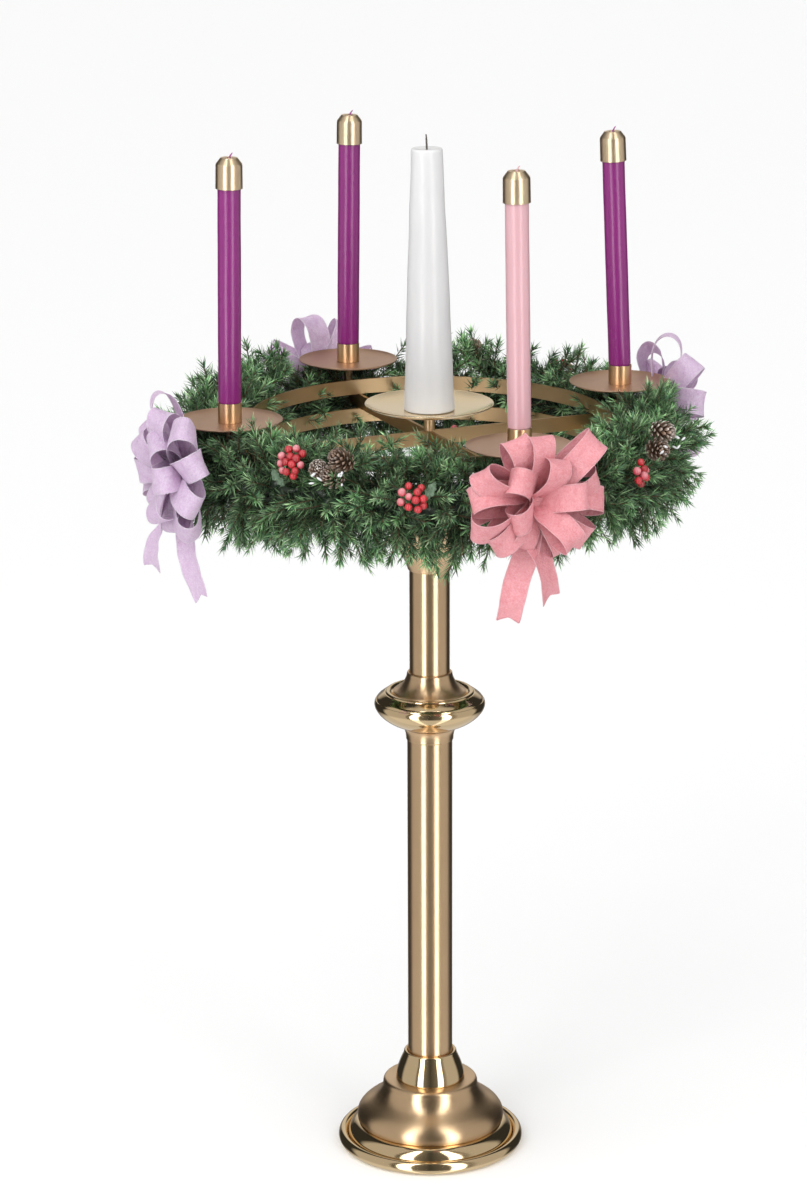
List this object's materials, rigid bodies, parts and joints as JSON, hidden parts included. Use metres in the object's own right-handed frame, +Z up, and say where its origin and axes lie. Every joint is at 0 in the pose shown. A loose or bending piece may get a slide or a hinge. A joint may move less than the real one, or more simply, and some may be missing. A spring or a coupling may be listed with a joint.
{
  "type": "candelabrum",
  "caption": "Floor-standing brass advent candelabrum: stepped round foot, tubular column with knop, ring frame with rim candles, centre pillar, greenery and ribbon bows.",
  "frame": {"origin": "centre of the round foot pad's underside, on the floor and on the column's axis", "axes": "+Z up along the column; the cross bars run along X and Y; the pink candle stands towards -Y"},
  "size_m": [0.953, 0.953, 1.689],
  "materials": {
    "foot_pad_rubber": "matte",
    "ballast_iron": "matte",
    "polished_brass": "polished",
    "satin_brass": "satin",
    "bright_steel": "satin",
    "nylon": "matte",
    "frame_gold": "matte",
    "pan_brass": "matte",
    "socket_brass": "polished",
    "purple_wax": "gloss",
    "pink_wax": "satin",
    "white_wax": "satin",
    "greenery": "matte",
    "hoop_wire": "matte",
    "lilac_ribbon": "satin",
    "pink_ribbon": "satin",
    "berry_red": "gloss",
    "cone_brown": "matte"
  },
  "bodies": {
    "stand": {"foot_pad": "foot_pad_rubber", "ballast_weight": "ballast_iron", "base_foot": "polished_brass", "base_bell": "satin_brass", "base_dome": "polished_brass", "lower_tube": "satin_brass", "knop_lower_collar": "satin_brass", "knop_body": "polished_brass", "knop_flare": "satin_brass", "upper_tube": "satin_brass", "top_cone": "satin_brass", "tie_rod": "bright_steel", "tie_rod_washer": "bright_steel", "tie_rod_nut": "bright_steel", "bearing_cover": "satin_brass", "pivot_bush": "nylon"},
    "bearing": {"thrust_washer": "nylon"},
    "head": {"head_spindle": "frame_gold", "cross_bar_a": "frame_gold", "cross_bar_b": "frame_gold", "upper_ring": "frame_gold", "lower_ring": "frame_gold", "centre_stem": "satin_brass", "centre_dish": "satin_brass", "dish_spike": "bright_steel", "wreath_greenery": "greenery", "wreath_hoop": "hoop_wire", "post_left": "frame_gold", "drip_pan_left": "pan_brass", "socket_left": "socket_brass", "bow_left": "lilac_ribbon", "post_back": "frame_gold", "drip_pan_back": "pan_brass", "socket_back": "socket_brass", "bow_back": "lilac_ribbon", "post_right": "frame_gold", "drip_pan_right": "pan_brass", "socket_right": "socket_brass", "bow_right": "lilac_ribbon", "post_front": "frame_gold", "drip_pan_front": "pan_brass", "socket_front": "socket_brass", "bow_front": "pink_ribbon", "berries_1": "berry_red", "berries_2": "berry_red", "berries_3": "berry_red", "berries_4": "berry_red", "berries_5": "berry_red", "pinecones_1": "cone_brown", "pinecones_2": "cone_brown", "pinecones_3": "cone_brown"},
    "pillar": {"pillar_candle": "white_wax"},
    "candle_left_body": {"candle_left": "purple_wax"},
    "follower_left_body": {"follower_left": "satin_brass"},
    "candle_back_body": {"candle_back": "purple_wax"},
    "follower_back_body": {"follower_back": "satin_brass"},
    "candle_right_body": {"candle_right": "purple_wax"},
    "follower_right_body": {"follower_right": "satin_brass"},
    "candle_front_body": {"candle_front": "pink_wax"},
    "follower_front_body": {"follower_front": "satin_brass"}
  },
  "joints": [
    {"name": "head_swivel", "type": "hinge", "parent": "stand", "child": "bearing", "pos_m": [0, 0, 1.0998], "axis": [0, 0, 1], "continuous": true},
    {"name": "head_lift", "type": "slide", "parent": "bearing", "child": "head", "axis": [0, 0, 1], "range_m": [0, 0.08]},
    {"name": "pillar_lift", "type": "slide", "parent": "head", "child": "pillar", "axis": [0, 0, 1], "range_m": [0, 0.05]},
    {"name": "candle_left_lift", "type": "slide", "parent": "head", "child": "candle_left_body", "axis": [0, 0, 1], "range_m": [0, 0.06]},
    {"name": "follower_left_lift", "type": "slide", "parent": "candle_left_body", "child": "follower_left_body", "axis": [0, 0, 1], "range_m": [0, 0.056]},
    {"name": "candle_back_lift", "type": "slide", "parent": "head", "child": "candle_back_body", "axis": [0, 0, 1], "range_m": [0, 0.06]},
    {"name": "follower_back_lift", "type": "slide", "parent": "candle_back_body", "child": "follower_back_body", "axis": [0, 0, 1], "range_m": [0, 0.056]},
    {"name": "candle_right_lift", "type": "slide", "parent": "head", "child": "candle_right_body", "axis": [0, 0, 1], "range_m": [0, 0.06]},
    {"name": "follower_right_lift", "type": "slide", "parent": "candle_right_body", "child": "follower_right_body", "axis": [0, 0, 1], "range_m": [0, 0.056]},
    {"name": "candle_front_lift", "type": "slide", "parent": "head", "child": "candle_front_body", "axis": [0, 0, 1], "range_m": [0, 0.06]},
    {"name": "follower_front_lift", "type": "slide", "parent": "candle_front_body", "child": "follower_front_body", "axis": [0, 0, 1], "range_m": [0, 0.056]}
  ]
}
